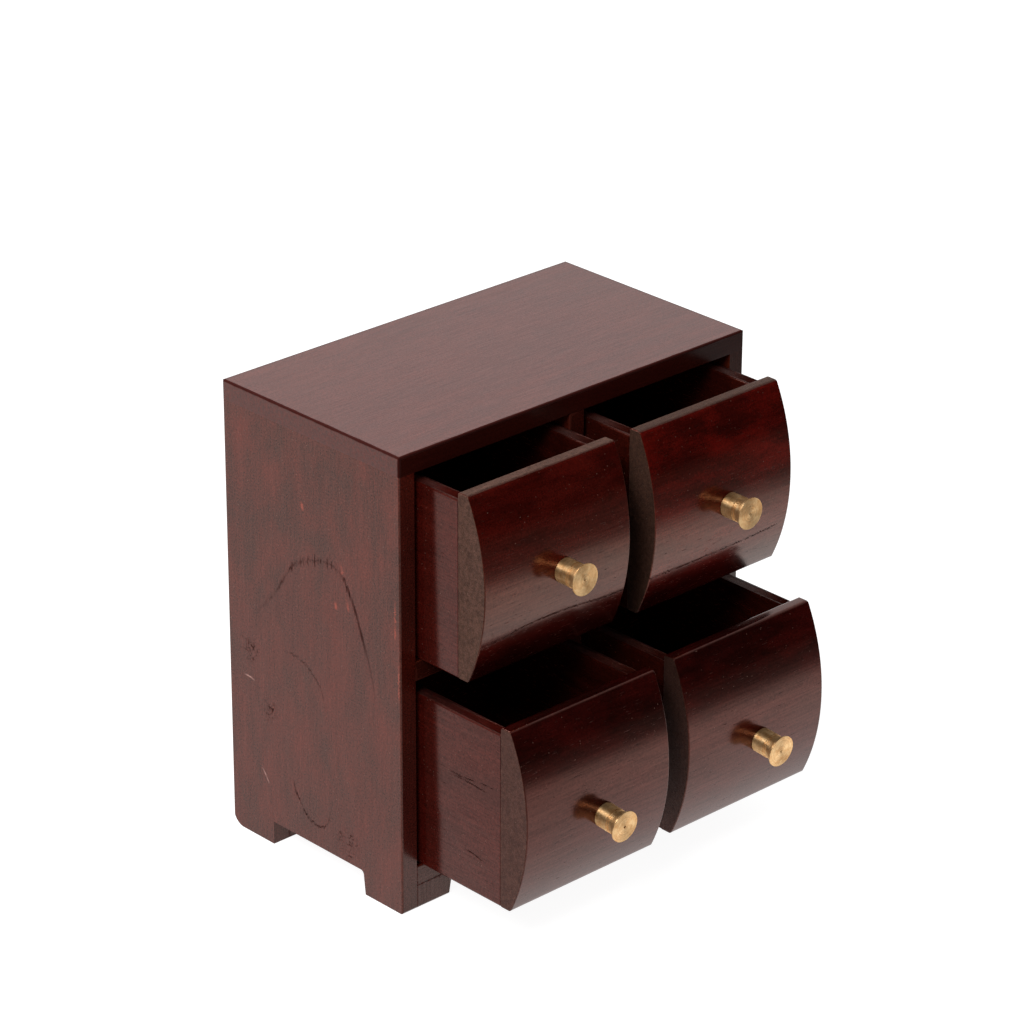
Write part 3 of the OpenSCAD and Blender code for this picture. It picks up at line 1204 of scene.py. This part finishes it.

# ---------- Top panel ----------
# One mahogany board with the grain along the front. It lies over both side panels, glued down, and
# is rubbed to an even satin.

# Only the upper arrises get the dark line, partly painted shade for the dark that the rounded
# arrises mirror, so the board is taken as reaching far down.
top_low, top_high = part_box("top_panel")
top_low.z -= 20 * MM
top = mahogany(
    "top_mahogany",
    (top_low, top_high),
    "X",
    heart=(0, 12, -16),
    lean=(0, 0.03, 0.05),
    ring=3.6,
    seed=4.2,
    roughness=0.22,
    shades=("#4b170e", "#4e180f", "#51190f", "#551b10"),
    end_shades=("#3c140c", "#5c1d12"),
    end_roughness=0.28,
    end_relief=0.01,
    uneven_gloss=0.2,
    sheen_tint="#fff4ee",
    worn=0.85,
    rub_and_shade_colour="#300a07",
    worn_width=(0.8, 1.0),
    pore_depth=0.05,
    mottled=0.3,
    dust=0.02,
    # Painted shade darkens the front edge, which faces the dim front of the room.
    painted_shade_by_facing=("Y", -0.6, -0.95, 0.8, "#1c0604"),
)
dress("top_panel", top)

# ---------- Shelves, dividers and foot blocks ----------
# Plain mahogany boards that make the four bays, and the blocks glued inside the feet. Their front
# edges are lacquered with the carcass, the lowest ones in the side panels' redder tone.

inner_boards = {
    "bottom_panel": "X",
    "middle_shelf": "X",
    "upper_divider": "Z",
    "lower_divider": "Z",
    "front_left_foot_block": "Z",
    "front_right_foot_block": "Z",
    "back_left_foot_block": "Z",
    "back_right_foot_block": "Z",
}
for count, (name, grain) in enumerate(inner_boards.items()):
    foot_block = name.endswith("block")
    lowest = foot_block or name == "bottom_panel"
    board = mahogany(
        f"{name}_mahogany",
        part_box(name),
        grain,
        heart=(0, 25 - 6 * count, 18),
        seed=11.3 + count,
        roughness=0.25,
        shades=("#3c1209", "#41140b", "#46160c", "#4c180e"),
        patch_strength=0.3 if lowest else 0.85,
        mottled=0.5 if lowest else 0.4,
        sheen_tint="#ffe2d4" if lowest else "#ffc8b4",
        rub_and_shade_colour="#4a160d",
        pore_depth=0.3,
        # Painted shade darkens the front edges, which face the dim front of the room.
        painted_shade_by_facing=("Y", -0.6, -0.95, 0.6, "#320503" if lowest else "#200806"),
    )
    dress(name, board, arris=(0, 0, 0) if foot_block else (0.3, 0, 0.3))

# ---------- Back panel ----------
# A thin mahogany board with upright grain, let in between the side panels and nailed on with
# brads. It is stained but hardly lacquered, so it stays matt.

back = mahogany(
    "back_mahogany",
    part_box("back_panel"),
    "Z",
    heart=(0, 10, 15),
    lean=(0, 0.04, 0.1),
    seed=6.6,
    roughness=0.5,
)
dress("back_panel", back)

# ---------- Drawer fronts ----------
# Bow-fronted mahogany fronts, cut one after another from a moulded length, so the figure runs on
# from the left front to the right one. Stained darkest of all and lacquered to a gloss. The lower
# fronts and the ends of the right ones are painted darker still, as shade.

# A seam of pores runs across both upper fronts, in mm from the carcass's left side and the floor.
left_edge = carcass_low.x / MM
pore_seam = {
    "run": "X", "rise": "Z", "start": (left_edge, 0),
    "points": [
        (7.5, 101.3), (20, 102.6), (34.4, 103.9), (52, 103), (70, 101.8),
        (86, 102.4), (102, 102.2), (122.6, 102.6), (141, 104.3),
    ],
    "thickness": 0.4, "jag": 1.2, "fades": (0.05, 0.05),
}
# Painted shade: the lower fronts, and the patches on them, are darker than the upper ones, for the
# upper drawers that overhang them.
front_shades = {
    "upper": ("#350402", "#390502", "#3d0603", "#410704"),
    "lower": ("#1c0302", "#1f0302", "#230403", "#270504"),
}
patch_shades = {
    ("upper", "left"): ("#180503", "#50100a"),
    ("upper", "right"): ("#1e0302", "#6c0d08"),
    ("lower", "left"): ("#120201", "#3c0806"),
    ("lower", "right"): ("#160201", "#420806"),
}
# Painted shade: the ends of the right fronts and of the lower fronts are darker, for the fronts
# beside and above them that keep the light off.
end_shades = {
    ("upper", "left"): ("#140a06", "#563b32"),
    ("upper", "right"): ("#060201", "#38241c"),
    ("lower", "left"): ("#0e0704", "#48312a"),
    ("lower", "right"): ("#040200", "#2a1b15"),
}
for row in ("upper", "lower"):
    pair = [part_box(f"{row}_{side}_drawer_front") for side in ("left", "right")]
    low_corner = Vector([min(box[0][i] for box in pair) for i in range(3)])
    high_corner = Vector([max(box[1][i] for box in pair) for i in range(3)])
    for side in ("left", "right"):
        front = mahogany(
            f"{row}_{side}_front_mahogany",
            (low_corner, high_corner),
            "X",
            heart=(0, 26, -22),
            lean=(0, 0.02, 0.03),
            ring=3.2,
            seed=3.1 if row == "upper" else 9.4,
            roughness=0.17,
            shades=front_shades[row],
            patch_shades=patch_shades[row, side],
            patch_strength=0.65,
            patch_seed=0 if side == "left" else 7.7,
            bare_top=row == "upper",
            end_shades=end_shades[row, side],
            mottled=0.35,
            sheen_tint="#ffb99c" if row == "upper" else "#ffa893",
            ior=1.7,
            veins=(pore_seam,) if row == "upper" else (),
            worn=0,
            dust=0.35,
            fibre_relief=0.008,
            # Painted shade darkens the lower part of each bow, which is turned down, away from the
            # light.
            painted_shade_by_facing=("Z", -0.26, -0.38, 0.75, "#120202"),
        )
        dress(f"{row}_{side}_drawer_front", front, arris=(1.2, 0.5, 0.4))

# ---------- Drawer boxes ----------
# Five-millimetre mahogany sides and backs and a thin bottom, grooved and glued. The sides are
# lacquered outside, and their top edges are rounded over. Only the outer sides of the left drawers
# keep the lit tone: the other boards, and all top edges, are painted darker as shade.

# A few dark streaks in the lower left drawer's side, in mm from the carcass's front and the floor.
streaked_side = "lower_left_drawer_left_side"
side_streaks = [
    [(-26.4, 55.2), (-21.9, 54.9), (-17.3, 54.6), (-12.7, 55.3)],
    [(-31.6, 53.3), (-24.5, 53.7), (-19.2, 53.9), (-13.3, 53.0)],
    [(-34.2, 55.8), (-30.6, 55.8), (-27.1, 55.5)],
    [(-29.7, 28.2), (-23.8, 29.3), (-19.8, 29.8)],
]
streak_veins = [
    {**along_side, "points": streak, "thickness": 0.3, "jag": 0.8, "fades": (0.2, 0.3)}
    for streak in side_streaks
]
lit_side_shades = ("#340a06", "#390c07", "#3e0d08", "#430f09")
shaded_box_shades = ("#200603", "#260804", "#2c0a05", "#340d07")
# Board, grain, eased arrises in mm, and seed.
box_boards = (
    ("left_side", "Y", (0, 0.8, 0), 129),
    ("right_side", "Y", (0, 0.8, 0), 135),
    ("back", "X", (0.5, 0, 0), 119),
    ("bottom", "X", (0, 0, 0), 119),
)
drawers = [f"{row}_{side}_drawer" for row in ("upper", "lower") for side in ("left", "right")]
for count, drawer in enumerate(drawers):
    for part, grain, arris, seed in box_boards:
        name = f"{drawer}_{part}"
        board = mahogany(
            f"{name}_mahogany",
            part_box(name),
            grain,
            heart=(0, 14, 20),
            lean=(0, 0.02, 0.06),
            seed=seed + 4 * count,
            roughness=0.17,
            shades=lit_side_shades if name.endswith("left_drawer_left_side") else shaded_box_shades,
            sheen_tint="#ffb4a0",
            veins=streak_veins if name == streaked_side else (),
            bare_top=True,
            # The dark end shades paint shade on the top edges, which lie under the carcass.
            end_shades=("#120202", "#360706"),
            worn=0,
        )
        dress(name, board, arris=arris)

# ---------- Knobs and fixings ----------
# Small turned brass knobs, each held by a zinc-plated steel machine screw from inside the drawer.
# Steel brads with flat heads hold the back panel.


def turned_brass(knob):
    """Brass as it leaves the lathe, a little tarnished: its grooves draw the light out sideways."""
    material = bpy.data.materials.new(f"{knob}_brass")
    tree = empty_tree(material)
    low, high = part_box(knob)
    place = add(tree, "ShaderNodeTexCoord")
    in_mm = add(
        tree,
        "ShaderNodeVectorMath",
        {0: place.outputs["Object"], "Scale": 1 / MM},
        operation="SCALE",
    )
    from_axis = add(
        tree,
        "ShaderNodeVectorMath",
        {0: in_mm.outputs[0], 1: (low + high) / 2 / MM},
        operation="SUBTRACT",
    )
    clouds_per_mm = 0.45
    cloud = add(
        tree,
        "ShaderNodeTexNoise",
        {"Vector": in_mm.outputs[0], "Scale": clouds_per_mm, "Detail": 5, "Roughness": 0.75},
    )
    tarnish = add(tree, "ShaderNodeValToRGB", {"Fac": cloud.outputs["Fac"]})
    tarnish_stops = ((0.32, "#d6a066"), (0.62, "#f8d29c"))
    for stop, (position, shade) in zip(tarnish.color_ramp.elements, tarnish_stops):
        stop.position = position
        stop.color = linear(shade)

    # Grooves left by the tool: rings on the face, turns on the barrel.
    groove_mm, groove_relief = 0.45, 0.06
    across = add(
        tree,
        "ShaderNodeVectorMath",
        {0: from_axis.outputs[0], 1: (1, 0, 1)},
        operation="MULTIPLY",
    )
    radius = add(tree, "ShaderNodeVectorMath", {0: across.outputs[0]}, operation="LENGTH")
    along = add(tree, "ShaderNodeSeparateXYZ", {0: in_mm.outputs[0]})
    travel = add(
        tree,
        "ShaderNodeMath",
        {0: radius.outputs["Value"], 1: along.outputs["Y"]},
        operation="ADD",
    )
    travel = add(
        tree,
        "ShaderNodeMath",
        {0: travel.outputs[0], 1: 1 / groove_mm},
        operation="MULTIPLY",
    )
    groove = add(
        tree,
        "ShaderNodeTexNoise",
        {"W": travel.outputs[0], "Scale": 1, "Detail": 2, "Roughness": 0.7},
        noise_dimensions="1D",
    )
    groove_shade = add(
        tree,
        "ShaderNodeMapRange",
        {
            "Value": groove.outputs["Fac"],
            "From Min": 0.3,
            "From Max": 0.6,
            "To Min": 0.84,
            "To Max": 1.03,
        },
    )
    # Painted shade: the middle of the face is made darker, for the dark that its shallow hollow
    # mirrors.
    painted_dark_middle = add(
        tree,
        "ShaderNodeMapRange",
        {
            "Value": radius.outputs["Value"],
            "From Min": 0.4,
            "From Max": 1.7,
            "To Min": 0.86,
            "To Max": 1,
        },
    )
    shade = add(
        tree,
        "ShaderNodeMath",
        {0: groove_shade.outputs[0], 1: painted_dark_middle.outputs[0]},
        operation="MULTIPLY",
    )
    colour = add(
        tree,
        "ShaderNodeVectorMath",
        {0: tarnish.outputs["Color"], "Scale": shade.outputs[0]},
        operation="SCALE",
    )
    off_centre = add(
        tree,
        "ShaderNodeMapRange",
        {"Value": radius.outputs["Value"], "From Min": 0.3, "From Max": 1},
    )
    groove_bump = add(
        tree,
        "ShaderNodeBump",
        {
            "Height": groove.outputs["Fac"],
            "Strength": off_centre.outputs[0],
            "Distance": groove_relief * MM,
        },
    )
    round_knob = add(tree, "ShaderNodeTangent", direction_type="RADIAL", axis="Y")
    shader = add(
        tree,
        "ShaderNodeBsdfPrincipled",
        {
            "Base Color": colour.outputs[0],
            "Metallic": 1,
            "Roughness": 0.5,
            "Anisotropic": 0.75,
            "Anisotropic Rotation": 0.25,
            "Normal": groove_bump.outputs[0],
            "Tangent": round_knob.outputs[0],
        },
    )
    add(tree, "ShaderNodeOutputMaterial", {"Surface": shader.outputs[0]})
    return material


# Zinc plating: pale grey, with a cloudy bloom about 1.4 mm across that dulls it in places.
blooms_per_metre = 700
steel = bpy.data.materials.new("zinc_plated_steel")
tree = empty_tree(steel)
place = add(tree, "ShaderNodeTexCoord")
bloom = add(
    tree,
    "ShaderNodeTexNoise",
    {"Vector": place.outputs["Object"], "Scale": blooms_per_metre, "Detail": 3},
)
dull = add(
    tree,
    "ShaderNodeMapRange",
    {"Value": bloom.outputs["Fac"], "To Min": 0.28, "To Max": 0.5},
)
shader = add(
    tree,
    "ShaderNodeBsdfPrincipled",
    {"Base Color": linear("#b9bcc0"), "Metallic": 1, "Roughness": dull.outputs[0]},
)
add(tree, "ShaderNodeOutputMaterial", {"Surface": shader.outputs[0]})

fixings = {"back_panel_brads": steel}
for drawer in drawers:
    fixings[f"{drawer}_knob"] = turned_brass(f"{drawer}_knob")
    fixings[f"{drawer}_knob_screw"] = steel
for name, metal in fixings.items():
    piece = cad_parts[name]
    piece.data.materials.clear()
    piece.data.materials.append(metal)
